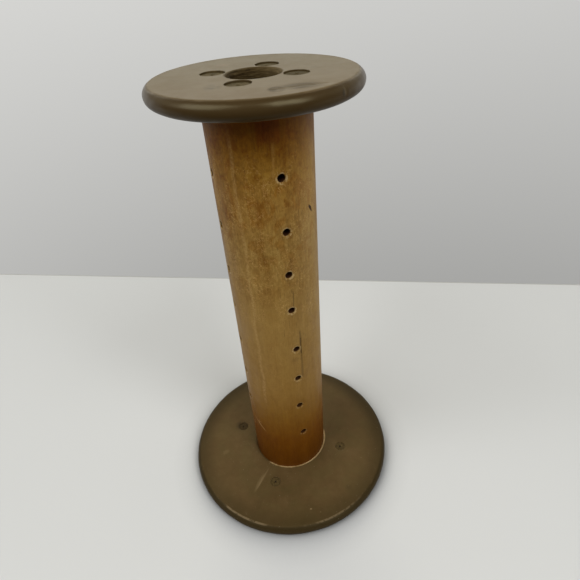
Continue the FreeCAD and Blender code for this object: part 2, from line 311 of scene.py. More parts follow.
def wall(shell, radius, low, high, columns, pitch, rings, extra=()):
    """A cylinder wall with the thread holes in it, triangulated flat and rolled up."""
    rows = 2 * max(1, round((high - low) / pitch / 2))
    points, loops = [], []
    step = 2 * math.pi / columns
    edge_low, edge_high, left, right = [], [], [], []
    for j in range(rows + 1):
        z = low + (high - low) * j / rows
        edge = j in (0, rows)
        if j % 2 == 0:
            for i in range(columns + 1):
                az = SEAM + i * step
                if edge or i in (0, columns) or not near_opening(az, z, radius, rings[-1] + 0.35 * pitch):
                    points.append((radius * az, z))
                    k = len(points) - 1
                    if j == 0:
                        edge_low.append(k)
                    if j == rows:
                        edge_high.append(k)
                    if i == 0:
                        left.append(k)
                    if i == columns:
                        right.append(k)
        else:
            for i in range(columns):
                az = SEAM + (i + 0.5) * step
                if not near_opening(az, z, radius, rings[-1] + 0.35 * pitch):
                    points.append((radius * az, z))
    loops.append(edge_low + right[1:] + edge_high[::-1][1:] + left[::-1][1:-1])
    mouths = []
    for a, h, d in OPENINGS:
        mouth = []
        for k in range(N_HOLE):
            t = 2 * math.pi * k / N_HOLE
            u, w = d + R_THREAD * math.cos(t), h + R_THREAD * math.sin(t)
            points.append((radius * (a + math.asin(u / radius)), w))
            mouth.append(len(points) - 1)
        loops.append(mouth)
        mouths.append(mouth)
        for q, out in enumerate(rings):
            for k in range(N_HOLE):
                t = 2 * math.pi * (k + 0.5 * ((q + 1) % 2)) / N_HOLE
                u = d + (R_THREAD + out) * math.cos(t)
                w = h + (R_THREAD + out) * math.sin(t)
                points.append((radius * (a + math.asin(u / radius)), w))
    points.extend(
        (radius * az, z) for az, z in extra if not near_opening(az, z, radius, rings[-1] + 0.1)
    )

    def keep(x, z):
        az = x / radius
        for a, h, d in OPENINGS:
            if abs(z - h) < R_THREAD and abs(az - a) < 0.6:
                u = radius * math.sin(az - a)
                if math.hypot(u - d, z - h) < R_THREAD * math.cos(math.pi / N_HOLE) * 0.999:
                    return False
        return True

    def soft(az, z):
        """How far a point lies inside the wall, for a hole's rounded edge."""
        if rings[0] > 0.5:
            return 0.0
        for a, h, d in OPENINGS:
            if abs(z - h) < 3 and abs(az - a) < 0.6:
                e = (math.hypot(radius * math.sin(az - a) - d, z - h) - R_THREAD) / 0.5
                if e < 1:
                    return 0.26 * (1 - max(e, 0)) ** 2
        return 0.0

    ids = {}

    def point(i):
        if i not in ids:
            x, z = points[i]
            az = x / radius
            r = radius - soft(az, z)
            ids[i] = shell.pt(r * math.sin(az), -r * math.cos(az), z)
        return ids[i]

    for f in triangulate(points, loops, keep):
        shell.face(*(point(i) for i in f))
    return [[point(i) for i in mouth] for mouth in mouths]


def barrel():
    shell = Shell()
    pitch = 1.0
    n_out, n_in = ((176, 48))
    bevel = 0.4
    extra = []
    for j in range(60):
        for i in range(13):
            extra.append(
                (CRACK[0] + (i - 6) * 0.16 / R_BARREL, 133.0 - j * 0.42 + 0.2 * (i % 2))
            )
    for j in range(22):
        for i in range(22):
            extra.append((NICK[0] + (i - 10.5) * 0.2 / R_BARREL, NICK[1] + (j - 10.5) * 0.2))
    outer = wall(
        shell, R_BARREL, BARREL_LOW + bevel, BARREL_HIGH - bevel, n_out, pitch,
        (0.08, 0.2, 0.36, 0.6, 1.0), extra,
    )
    inner = wall(shell, R_BORE, BARREL_LOW, BARREL_HIGH, n_in, 1.5, (0.6,))
    for a, b in zip(outer, inner):
        loops = [a]
        pa = [Vector(shell.points[i]) for i in a]
        pb = [Vector(shell.points[i]) for i in b]
        for step in (0.02, 0.06, 0.15, 0.4, 0.7):
            loops.append([shell.pt(*p.lerp(q, step)) for p, q in zip(pa, pb)])
        loops.append(b)
        for low, high in zip(loops, loops[1:]):
            shell.strip(low, high)

    def turned(radius, z, n):
        """A loop whose points stand on the wall's own columns."""
        return [
            (radius * math.sin(SEAM + 2 * math.pi * k / n), -radius * math.cos(SEAM + 2 * math.pi * k / n), z)
            for k in range(n)
        ]

    for z, edge, azimuth, way in (
        (BARREL_LOW, BARREL_LOW + bevel, LOWER_PEG_AZ, 1),
        (BARREL_HIGH, BARREL_HIGH - bevel, UPPER_PEG_AZ, -1),
    ):
        a = [shell.pt(*p) for p in turned(R_BARREL, edge, n_out)]
        b = [shell.pt(*p) for p in turned(R_BARREL - bevel, z, n_out)]
        shell.strip(a, b)
        points = [p[:2] for p in turned(R_BARREL - bevel, z, n_out)]
        loops = [list(range(n_out))]
        points += [p[:2] for p in turned(R_BORE, z, n_in)]
        loops.append(list(range(n_out, n_out + n_in)))
        centres = [polar(PEG_CIRCLE, azimuth + 90 * k) for k in range(4)]
        for x, y in centres:
            start = len(points)
            points += ring(x, y, R_PEG_HOLE, 32)
            loops.append(list(range(start, start + 32)))
        for x, y in ring(0, 0, 17.5, 60) + ring(0, 0, 13.5, 48) + ring(0, 0, 22.0, 72):
            if all(math.hypot(x - c, y - d) > R_PEG_HOLE + 0.8 for c, d in centres):
                points.append((x, y))

        def keep(x, y, centres=centres):
            return R_BORE * 0.9975 < math.hypot(x, y) and all(
                math.hypot(x - c, y - d) > R_PEG_HOLE * 0.995 for c, d in centres
            )

        for f in triangulate(points, loops, keep):
            shell.face(*(shell.pt(points[i][0], points[i][1], z) for i in f))
        for x, y in centres:
            lathe(
                shell, x, y,
                [(R_PEG_HOLE, z), (R_PEG_HOLE, z + 10 * way), (R_PEG_HOLE, z + 23 * way), (0, z + 23 * way)],
                32, lambda x, y, w: (x, y, w),
            )

    dents = []
    for k in range(26):
        az = math.radians(-170 + (k * 137.508) % 340)
        z = 22 + (k * 61.8034) % 215
        dents.append((az, z, 0.9 + (k * 7 % 10) * 0.12, 0.04 + (k * 3 % 7) * 0.014))

    def shift(x, y, z, normal):
        r = math.hypot(x, y)
        if r < R_BARREL - 0.3 or not BARREL_LOW + 1 < z < BARREL_HIGH - 1:
            return Vector((0, 0, 0))
        az = math.atan2(x, -y)
        d = 0.035 * lump(x, y, z / 3.0, 9.0, 1) + 0.012 * lump(x, y, z / 5.0, 1.8, 2)
        s = R_BARREL * (az - CRACK[0])
        up = z - CRACK[1]
        line = 0.10 * math.sin(up * 0.55) + 0.03 * up
        width = 0.30 * max(0.0, 1 - (up / 11.5) ** 2) + 1e-6
        if abs(up) < 11.5:
            d -= 0.42 * math.exp(-(((s - line) / width) ** 2)) * (1 - (up / 11.5) ** 2)
        s, up = R_BARREL * (az - NICK[0]), z - NICK[1]
        along, across = 0.75 * s - 0.66 * up, 0.66 * s + 0.75 * up
        d -= 0.5 * math.exp(-((along / 1.5) ** 2) - (across / 0.42) ** 2)
        d += 0.12 * math.exp(-((along / 1.6) ** 2) - ((across - 0.85) / 0.4) ** 2)
        for a, h, size, deep in dents:
            if abs(z - h) < 3 * size:
                q = (R_BARREL * math.sin(az - a)) ** 2 + (z - h) ** 2
                if math.cos(az - a) > 0:
                    d -= deep * math.exp(-q / size**2)
        return Vector((x / r * d, y / r * d, 0))

    return to_object(shell, "barrel_turned", shift=shift)


# ------------------------------------------------------------------ heads
def rim_profile(radius, flat_low, flat_high):
    """The rounded rim from one flat to the other."""
    half = T / 2
    arc = (half**2 + BULGE**2) / (2 * BULGE)
    reach = math.asin(half / arc)
    steps = 30
    out = []
    for k in range(steps + 1):
        a = -reach + 2 * reach * k / steps
        out.append((radius - arc + arc * math.cos(a), half + arc * math.sin(a)))
    out[0], out[-1] = (radius - BULGE, 0.0), (radius - BULGE, T)
    return out


def head(name, radius, upper, peg_az, sockets, pitch):
    shell = Shell()

    def put(x, y, w):
        return (x, y, H - w if upper else w)

    n_rim = (336) if upper else (448)
    n_bore = 96
    n_house = 144
    soft = 0.35
    pegs = [polar(PEG_CIRCLE, peg_az + 90 * k) for k in range(4)]
    pins = [polar(SOCKET_CIRCLE, SOCKET_AZ + 90 * k) for k in range(4)] if sockets else []
    flat = radius - BULGE
    holes = [(x, y, R_COUNTERBORE, 64, soft) for x, y in pegs]
    holes += [(x, y, R_SOCKET, 48, 0.25) for x, y in pins]
    extra = []
    if upper:
        for j in range(30):
            for i in range(62):
                extra.append((3.0 + i * 0.42, -37.5 + j * 0.42 + 0.2 * (i % 2)))
    round_face(shell, R_BORE + 2.45, flat, n_bore, n_rim, holes, pitch, 0.0, put, extra)
    lathe(shell, 0, 0, rim_profile(radius, 0, T), n_rim, put)
    mouth = [
        (R_BORE + 2.45, 0.0), (R_BORE + 2.30, 0.03), (R_BORE + 2.16, 0.10), (R_BORE + 2.0, 0.20),
        (R_BORE + 1.0, 0.80), (R_BORE + 0.25, 1.27), (R_BORE + 0.08, 1.40), (R_BORE, 1.6),
        (R_BORE, 3.4), (R_BORE, T - HOUSING),
    ]
    lathe(shell, 0, 0, mouth, n_bore, put)
    floor = [(x, y, R_PEG_HOLE, 64, 0) for x, y in pegs]
    round_face(shell, R_BORE, R_HOUSING, n_bore, n_house, floor, 2.2, T - HOUSING, put)
    lathe(
        shell, 0, 0,
        [
            (R_HOUSING, T - HOUSING), (R_HOUSING, T - 0.7), (R_HOUSING + 0.02, T - 0.47),
            (R_HOUSING + 0.55, T - 0.24), (R_HOUSING + 1.0, T - 0.07), (R_HOUSING + 1.15, T - 0.015),
            (R_HOUSING + 1.3, T),
        ],
        n_house, put,
    )
    seats = [(x, y, R_PLUG_SEAT, 48, 0.22) for x, y in pins]
    # The thread side's hole edges round the other way, so its face is built turned over.
    round_face(
        shell, R_HOUSING + 1.3, flat, n_house, n_rim, seats, pitch, 0.0,
        lambda x, y, w: put(x, y, T - w),
    )
    for x, y in pegs:
        edge = 0.6 * soft
        lathe(
            shell, x, y,
            [
                (R_COUNTERBORE, edge), (R_COUNTERBORE, 0.5), (R_COUNTERBORE, 1.2),
                (R_COUNTERBORE, PEG_RECESS + PEG_HEAD), (R_PEG_HOLE, PEG_RECESS + PEG_HEAD), (R_PEG_HOLE, T - HOUSING),
            ],
            64, put,
        )
    for x, y in pins:
        step = T - PLUG_SINK - PLUG_LENGTH
        lathe(
            shell, x, y,
            [
                (R_SOCKET, 0.6 * 0.25), (R_SOCKET, 1.0), (R_SOCKET, step), (R_PLUG_SEAT, step),
                (R_PLUG_SEAT, T - 0.6), (R_PLUG_SEAT, T - 0.6 * 0.22),
            ],
            48, put,
        )

    def shift(x, y, z, normal):
        r = math.hypot(x, y)
        w = H - z if upper else z
        seed = 3 if upper else 5
        if r > flat - 0.4:
            az = math.atan2(x, -y)
            k = smooth((r - flat + 0.4) / 1.2)
            d = 0.10 * lump(x, y, z * 1.2, 9.0, seed) + 0.05 * lump(x, y, z * 1.2, 3.5, seed + 1)
            d += 0.03 * math.sin(3 * az + seed)
            if upper:
                # a small chip in the rim
                q = ((az - math.radians(45.5)) * radius) ** 2 / 0.8**2 + ((w - 3.2) / 1.9) ** 2
                d -= 0.22 * math.exp(-q)
            else:
                for at, size in ((-9.5, 1.6), (-4.0, 2.4), (11.0, 1.8), (-30.0, 2.2)):
                    q = ((az - math.radians(at)) * radius / size) ** 2 + ((w - 5.6) / 1.4) ** 2
                    d -= 0.28 * math.exp(-q)
            move = normal * (d * k - 0.09 * k)
            return Vector((move.x, move.y, min(max(move.z, -z), H - z)))
        if w < 0.02:
            if not upper:
                return Vector((0, 0, 0.046 + 0.02 * lump(x, y, 0, 12.0, 7)))
            d = 0.05 * lump(x, y, 0, 22.0, 8) + 0.012 * lump(x, y, 0, 2.2, 9) - 0.056
            d *= smooth((r - 13.2) / 2) * smooth((flat - 0.3 - r) / 3)
            return Vector((0, 0, d - gouge(x, y)))
        if w > T - 0.02 and r > R_HOUSING + 1.2:
            d = 0.06 * lump(x, y, 0, 26.0, 10) + 0.012 * lump(x, y, 0, 2.4, 11)
            d *= smooth((r - 27) / 3) * smooth((flat - 0.3 - r) / 3)
            return Vector((0, 0, -d if upper else d))
        return Vector((0, 0, 0))

    return to_object(shell, name, shift=shift)


def segment_distance(x, y, a, b):
    dx, dy = b[0] - a[0], b[1] - a[1]
    t = ((x - a[0]) * dx + (y - a[1]) * dy) / (dx * dx + dy * dy)
    t = min(1.0, max(0.0, t))
    return math.hypot(x - a[0] - t * dx, y - a[1] - t * dy)


GOUGE = ((6.0, -33.8), (12.5, -33.2), (18.5, -31.0), (26.5, -30.8))
GOUGE_2 = ((7.0, -35.2), (14.0, -34.6), (22.0, -32.6))


def gouge(x, y):
    """The depth of the scraped patch on the upper head's face."""
    if not (2 < x < 30 and -38.5 < y < -24):
        return 0.0
    deep = 0.0
    for line, size, most in ((GOUGE, 1.2, 0.24), (GOUGE_2, 1.4, 0.07)):
        near = min(segment_distance(x, y, a, b) for a, b in zip(line, line[1:]))
        near += 0.5 * lump(x, y, 0, 2.2, 21)
        deep += most * math.exp(-((max(near, 0) / size) ** 2))
    return deep * (0.75 + 0.5 * lump(x, y, 0, 3.0, 22))


# ------------------------------------------------------------------ pegs and plugs
def peg(name, quarter, azimuth, upper, filled):
    shell = Shell()
    cx, cy = polar(PEG_CIRCLE, azimuth + 90 * quarter)
    top = PEG_RECESS
    end = T - HOUSING + 22.0

    def put(x, y, w):
        return (x, y, H - w if upper else w)

    profile = [
        (0.0, top + 0.72), (0.35, top + 0.66), (0.62, top + 0.42), (0.85, top + 0.12), (1.0, top - 0.01),
        (1.15, top - 0.06), (1.4, top - 0.05), (1.8, top + 0.01), (2.6, top + 0.06), (3.6, top + 0.07),
        (4.6, top + 0.04), (5.15, top + 0.02), (5.38, top + 0.05), (5.5, top + 0.14), (R_PEG_HEAD, top + 0.3),
        (R_PEG_HEAD, top + PEG_HEAD - 0.1), (R_PEG_HEAD - 0.08, top + PEG_HEAD), (R_SHANK + 0.3, top + PEG_HEAD),
        (R_SHANK, top + PEG_HEAD + 0.02), (R_SHANK, 9.0), (R_SHANK, 18.0), (R_SHANK, end - 0.8),
        (R_SHANK - 0.8, end), (0.0, end),
    ]
    lathe(shell, cx, cy, profile, 56, put)
    seed = 30 + quarter + (4 if upper else 0)

    def shift(x, y, z, normal):
        w = H - z if upper else z
        if w > top + 0.8:
            return Vector((0, 0, 0))
        q = math.hypot(x - cx, y - cy)
        k = smooth((5.5 - q) / 0.8)
        d = 0.05 * lump(x, y, 0, 2.6, seed) + 0.02 * lump(x, y, 0, 0.9, seed + 1)
        d += 0.02 * (x - cx) * math.sin(seed * 2.1) + 0.02 * (y - cy) * math.cos(seed * 1.3)
        d *= k
        if filled:
            d += filled * k * smooth(0.5 + 0.5 * lump(x, y, 0, 4.0, seed + 2) + 0.12 * (y - cy))
        return Vector((0, 0, d if upper else -d))

    return to_object(shell, name, sharp=50, shift=shift)


def plug(name, quarter):
    shell = Shell()
    cx, cy = polar(SOCKET_CIRCLE, SOCKET_AZ + 90 * quarter)
    top = T - PLUG_SINK
    low = top - PLUG_LENGTH
    profile = [
        (0.0, top - 0.62), (0.3, top - 0.55), (0.55, top - 0.3), (0.75, top - 0.03), (0.95, top + 0.04),
        (1.3, top + 0.02), (2.1, top + 0.0), (2.8, top + 0.02), (3.1, top + 0.0), (3.26, top - 0.06),
        (R_PLUG, top - 0.22), (R_PLUG, low + 0.15), (R_PLUG - 0.12, low), (0.0, low),
    ]
    lathe(shell, cx, cy, profile, 48, lambda x, y, w: (x, y, w))
    seed = 50 + quarter

    def shift(x, y, z, normal):
        if z < top - 0.7:
            return Vector((0, 0, 0))
        k = smooth((3.3 - math.hypot(x - cx, y - cy)) / 0.5)
        return Vector((0, 0, k * 0.04 * lump(x, y, 0, 1.8, seed)))

    return to_object(shell, name, sharp=50, shift=shift)


made = {}
made["barrel"] = barrel()
made["upper_head"] = head("upper_head_turned", R_UPPER, True, UPPER_PEG_AZ, False, 1.1)
made["lower_head"] = head("lower_head_turned", R_LOWER, False, LOWER_PEG_AZ, True, 1.3)
for q in range(4):
    made["upper_head_peg_%d" % (q + 1)] = peg("upper_peg_%d" % (q + 1), q, UPPER_PEG_AZ, True, 0.3 if q == 3 else 0.0)
    made["lower_head_peg_%d" % (q + 1)] = peg("lower_peg_%d" % (q + 1), q, LOWER_PEG_AZ, False, 0.0)
    made["drive_socket_plug_%d" % (q + 1)] = plug("socket_plug_%d" % (q + 1), q)


# ------------------------------------------------------------------ materials
class Look:
    """A node material. Every method returns an output socket or takes plain numbers."""

    def __init__(self, name):
        self.material = bpy.data.materials.new(name)
        self.material.use_nodes = True
        self.tree = self.material.node_tree
        self.tree.nodes.clear()
        self.out = self.new("ShaderNodeOutputMaterial")
        self.bsdf = self.new("ShaderNodeBsdfPrincipled")
        self.tree.links.new(self.bsdf.outputs[0], self.out.inputs["Surface"])
        where = self.new("ShaderNodeTexCoord").outputs["Object"]
        self.mm = self.vec("SCALE", where, scale=1000.0)
        split = self.new("ShaderNodeSeparateXYZ")
        self.link(self.mm, split.inputs[0])
        self.x, self.y, self.z = split.outputs
        self.r = self.math("SQRT", self.math("ADD", self.math("MULTIPLY", self.x, self.x), self.math("MULTIPLY", self.y, self.y)))
        self.az = self.math("ARCTAN2", self.x, self.math("MULTIPLY", self.y, -1.0))

    def new(self, kind, **props):
        node = self.tree.nodes.new(kind)
        for key, value in props.items():
            setattr(node, key, value)
        return node

    def link(self, source, target):
        if isinstance(source, (int, float)):
            target.default_value = source
        elif isinstance(source, tuple):
            target.default_value = source if len(source) == len(target.default_value) else (*source, 1.0)
        else:
            self.tree.links.new(source, target)

    def math(self, op, a, b=None, c=None, clamp=False):
        node = self.new("ShaderNodeMath", operation=op, use_clamp=clamp)
        for value, target in zip((a, b, c), node.inputs):
            if value is not None:
                self.link(value, target)
        return node.outputs[0]

    def vec(self, op, a, b=None, scale=None):
        node = self.new("ShaderNodeVectorMath", operation=op)
        self.link(a, node.inputs[0])
        if b is not None:
            self.link(b, node.inputs[1])
        if scale is not None:
            self.link(scale, node.inputs["Scale"])
        return node.outputs["Value"] if op in ("LENGTH", "DISTANCE", "DOT_PRODUCT") else node.outputs[0]

    def combine(self, x, y, z):
        node = self.new("ShaderNodeCombineXYZ")
        for value, target in zip((x, y, z), node.inputs):
            self.link(value, target)
        return node.outputs[0]

    def noise(self, size, detail=3.0, rough=0.55, twist=0.0, seed=0.0, at=None):
        """Noise whose features are size = (x, y, z) or one number of millimetres."""
        size = size if isinstance(size, tuple) else (size,) * 3
        place = self.vec("MULTIPLY", self.mm if at is None else at, tuple(1.0 / s for s in size))
        place = self.vec("ADD", place, (seed * 7.31, seed * 3.17, seed * 11.9))
        node = self.new("ShaderNodeTexNoise", noise_dimensions="3D")
        self.link(place, node.inputs["Vector"])
        node.inputs["Scale"].default_value = 1.0
        node.inputs["Detail"].default_value = detail
        node.inputs["Roughness"].default_value = rough
        node.inputs["Distortion"].default_value = twist
        return node.outputs["Fac"]

    def remap(self, value, low, high, to_low=0.0, to_high=1.0, soft=True):
        node = self.new("ShaderNodeMapRange", clamp=True, interpolation_type="SMOOTHSTEP" if soft else "LINEAR")
        self.link(value, node.inputs["Value"])
        for key, number in (("From Min", low), ("From Max", high), ("To Min", to_low), ("To Max", to_high)):
            node.inputs[key].default_value = number
        return node.outputs[0]

    def ramp(self, value, stops, how="LINEAR"):
        node = self.new("ShaderNodeValToRGB")
        node.color_ramp.interpolation = how
        while len(node.color_ramp.elements) < len(stops):
            node.color_ramp.elements.new(0.5)
        for element, (place, colour) in zip(node.color_ramp.elements, stops):
            element.position = place
        for element, (place, colour) in zip(node.color_ramp.elements, stops):
            element.color = (*colour, 1.0) if isinstance(colour, tuple) else (colour,) * 3 + (1.0,)
        self.link(value, node.inputs[0])
        return node.outputs[0]

    def mix(self, factor, a, b, how="MIX"):
        node = self.new("ShaderNodeMix", data_type="RGBA", blend_type=how)
        self.link(factor, node.inputs[0])
        self.link(a, node.inputs[6])
        self.link(b, node.inputs[7])
        return node.outputs[2]

    def times(self, *values):
        out = values[0]
        for value in values[1:]:
            out = self.math("MULTIPLY", out, value)
        return out

    def band(self, value, low, high, soft):
        """1 between low and high, falling to 0 over soft on both sides."""
        up = self.remap(value, low - soft, low)
        down = self.remap(value, high, high + soft, 1.0, 0.0)
        return self.math("MULTIPLY", up, down)

    def spot(self, at, centre, reach, turn=0.0):
        """1 at the centre of an ellipse, 0 at its edge. reach is its two half-widths."""
        node = self.new("ShaderNodeMapping", vector_type="TEXTURE")
        node.inputs["Location"].default_value = (*centre, 0.0)
        node.inputs["Rotation"].default_value = (0.0, 0.0, math.radians(turn))
        node.inputs["Scale"].default_value = (*reach, 1.0)
        self.link(at, node.inputs["Vector"])
        return self.math("SUBTRACT", 1.0, self.vec("LENGTH", node.outputs[0]), clamp=True)

    def bump(self, height, strength, distance, below=None):
        node = self.new("ShaderNodeBump")
        node.inputs["Strength"].default_value = strength
        node.inputs["Distance"].default_value = distance * 0.001
        self.link(height, node.inputs["Height"])
        if below is not None:
            self.link(below, node.inputs["Normal"])
        return node.outputs[0]

    def finish(self, colour, rough, normal, **sockets):
        self.link(colour, self.bsdf.inputs["Base Color"])
        self.link(rough, self.bsdf.inputs["Roughness"])
        self.link(normal, self.bsdf.inputs["Normal"])
        for key, value in sockets.items():
            self.link(value, self.bsdf.inputs[key.replace("_", " ")])
        return self.material


def srgb(r, g, b):
    """A colour given as 0-255 screen values, in linear light."""
    return tuple((c / 255 / 12.92) if c / 255 <= 0.04045 else ((c / 255 + 0.055) / 1.055) ** 2.4 for c in (r, g, b))


def barrel_look():
    k = Look("barrel_varnished_wood")
    s = k.math("MULTIPLY", k.az, R_BARREL)
    flat = k.combine(s, k.z, 0.0)
    # the wood's own colour: broad figure, streaks along the grain, fine pores
    broad = k.noise((9.0, 9.0, 60.0), 2.0, 0.5, 0.4, seed=1)
    streak = k.noise((1.6, 1.6, 55.0), 3.0, 0.6, 0.6, seed=2)
    fine = k.noise((0.42, 0.42, 9.0), 2.0, 0.6, seed=3)
    pore = k.noise((0.30, 0.30, 2.6), 1.0, 0.5, seed=4)
    mottle = k.noise((6.5, 6.5, 9.0), 4.0, 0.62, 0.9, seed=14)
    speckle = k.noise((1.1, 1.1, 1.5), 3.0, 0.65, 0.4, seed=15)
    tone = k.math("ADD", k.math("MULTIPLY", broad, 0.22), k.math("ADD", k.math("MULTIPLY", streak, 0.16), k.math("MULTIPLY", fine, 0.16)))
    tone = k.math("ADD", tone, k.math("ADD", k.math("MULTIPLY", mottle, 0.28), k.math("MULTIPLY", speckle, 0.18)))
    figure = k.ramp(tone, [(0.38, (0.56, 0.46, 0.33)), (0.46, (0.74, 0.68, 0.59)), (0.53, (0.87, 0.85, 0.81)), (0.61, (1.01, 1.01, 1.01))])
    # the figure shows least below the middle, where the varnish is whole
    calm = k.math("MULTIPLY", k.math("SUBTRACT", 1.0, k.remap(k.z, 125.0, 190.0)), 0.38)
    figure = k.mix(calm, figure, (0.87, 0.86, 0.83, 1.0), "MIX")
    # colours up the barrel, darker towards both ends with an uneven edge: partly varnish grown dark, partly painted
    # shade, most under the upper head
    wander = k.math("MULTIPLY", k.math("SUBTRACT", k.noise((7.0, 7.0, 16.0), 3.0, 0.6, 0.5, seed=5), 0.5), 14.0)
    level = k.math("DIVIDE", k.math("ADD", k.z, wander), 262.0)
    aged_and_shade = k.ramp(
        level,
        [
            (10 / 262, srgb(101, 57, 4)),
            (38 / 262, srgb(113, 67, 6)),
            (52 / 262, srgb(126, 83, 16)),
            (66 / 262, srgb(136, 97, 31)),
            (84 / 262, srgb(151, 115, 52)),
            (130 / 262, srgb(161, 127, 65)),
            (188 / 262, srgb(164, 131, 68)),
            (212 / 262, srgb(162, 124, 58)),
            (226 / 262, srgb(159, 119, 46)),
            (238 / 262, srgb(147, 99, 20)),
            (250 / 262, srgb(150, 91, 10)),
        ],
    )
    colour = k.mix(1.0, aged_and_shade, figure, "MULTIPLY")
    # painted light and shade: darker and a little redder towards the left (-x) side, full colour at the right
    turned = k.remap(k.x, -24.0, 24.0, 0.88, 1.0, soft=False)
    colour = k.mix(1.0, colour, k.combine(turned, k.math("POWER", turned, 1.2), k.math("POWER", turned, 1.3)), "MULTIPLY")
    # dark flecks of pore, most where the varnish is dark
    fleck = k.remap(pore, 0.60, 0.74)
    flecked = k.math("ADD", 0.25, k.math("MULTIPLY", k.remap(k.z, 150.0, 235.0), 0.5))
    colour = k.mix(k.times(fleck, flecked, 0.8), colour, srgb(84, 55, 20), "MIX")
    # worn and darker patches, most in the upper part, and a deep red-brown darkening just below the upper head
    patch = k.remap(k.noise((7.0, 7.0, 12.0), 4.0, 0.62, 1.2, seed=6), 0.50, 0.59)
    upper_part = k.math("ADD", 0.12, k.math("MULTIPLY", k.remap(k.z, 150.0, 205.0), 0.88))
    colour = k.mix(k.times(patch, upper_part, 0.8), colour, (0.84, 0.68, 0.42), "MULTIPLY")
    # crisp small mottles in the upper half
    crisp = k.remap(k.noise((2.6, 2.6, 3.4), 4.0, 0.68, 1.2, seed=23), 0.43, 0.57)
    crisp = k.mix(crisp, (1.10, 1.12, 1.15, 1.0), (0.82, 0.75, 0.64, 1.0), "MIX")
    colour = k.mix(k.times(k.band(k.z, 168.0, 236.0, 18.0), k.remap(k.x, 12.0, 22.0, 1.0, 0.45), 0.62), colour, crisp, "MULTIPLY")
    # a deep red-brown darkening just below the upper head, front right
    dark_below_head = k.times(k.band(s, -1.0, 7.5, 1.6), k.band(k.math("ADD", k.z, k.math("MULTIPLY", mottle, 8.0)), 244.0, 262.0, 3.0))
    colour = k.mix(k.math("MULTIPLY", dark_below_head, 0.7), colour, (0.74, 0.46, 0.30), "MULTIPLY")
    # short curling scuffs through the varnish
    curl = k.noise((4.6, 4.6, 6.0), 3.0, 0.6, 2.2, seed=16)
    curl = k.remap(k.math("ABSOLUTE", k.math("SUBTRACT", curl, 0.5)), 0.005, 0.018, 1.0, 0.0)
    where = k.remap(k.noise((9.0, 9.0, 13.0), 2.0, 0.5, seed=17), 0.43, 0.55)
    scuffed = k.times(curl, where, k.math("ADD", 0.3, k.math("MULTIPLY", k.band(k.z, 152.0, 224.0, 16.0), 0.7)), k.band(k.z, 96.0, 226.0, 20.0))
    colour = k.mix(k.math("MULTIPLY", scuffed, 0.58), colour, srgb(190, 152, 90), "MIX")
    # fine dark dashes of open grain, front right
    dash = k.remap(k.noise((0.34, 0.34, 5.5), 1.0, 0.5, seed=18), 0.64, 0.74)
    colour = k.mix(k.times(dash, k.band(s, 3.0, 19.0, 5.0), k.band(k.z, 120.0, 215.0, 16.0), 0.6), colour, srgb(84, 60, 24), "MIX")
    # a paler streak up the grain, left of the front
    pale = k.math("SUBTRACT", s, k.math("ADD", math.radians(-31.0) * R_BARREL, k.math("MULTIPLY", k.math("SUBTRACT", k.noise((40.0, 40.0, 24.0), 1.0, seed=7), 0.5), 4.0)))
    pale = k.remap(k.math("ABSOLUTE", pale), 0.2, 1.6, 1.0, 0.0)
    colour = k.mix(k.times(pale, k.band(k.z, 86.0, 232.0, 20.0), k.remap(speckle, 0.40, 0.60, 0.3, 1.0), 0.34), colour, srgb(182, 148, 92), "MIX")
    short = k.math("SUBTRACT", s, k.math("ADD", math.radians(9.5) * R_BARREL, k.math("MULTIPLY", k.math("SUBTRACT", k.noise((40.0, 40.0, 12.0), 1.0, seed=22), 0.5), 5.0)))
    short = k.remap(k.math("ABSOLUTE", short), 0.15, 1.1, 1.0, 0.0)
    colour = k.mix(k.times(short, k.band(k.z, 227.0, 236.0, 5.0), k.remap(speckle, 0.40, 0.58, 0.4, 1.0), 0.32), colour, srgb(184, 142, 76), "MIX")
    # painted sheen: paler up the right-hand side, from the middle of the barrel upwards
    right_side_sheen = k.times(k.remap(k.x, 9.0, 24.0), k.remap(k.z, 140.0, 200.0), k.remap(broad, 0.3, 0.6, 0.6, 1.0), 0.16)
    colour = k.mix(right_side_sheen, colour, srgb(196, 168, 116), "MIX")
    # pale handling scratches low on the left
    for centre, reach, turn in (
        ((math.radians(-56.0) * R_BARREL, 48.6), (5.4, 0.42), -35.0),
        ((math.radians(-47.0) * R_BARREL, 45.4), (5.0, 0.36), -38.0),
        ((math.radians(-51.0) * R_BARREL, 50.0), (1.6, 0.22), -20.0),
    ):
        colour = k.mix(k.math("MULTIPLY", k.remap(k.spot(flat, centre, reach, turn), 0.0, 0.6), 0.62), colour, srgb(206, 166, 110), "MIX")
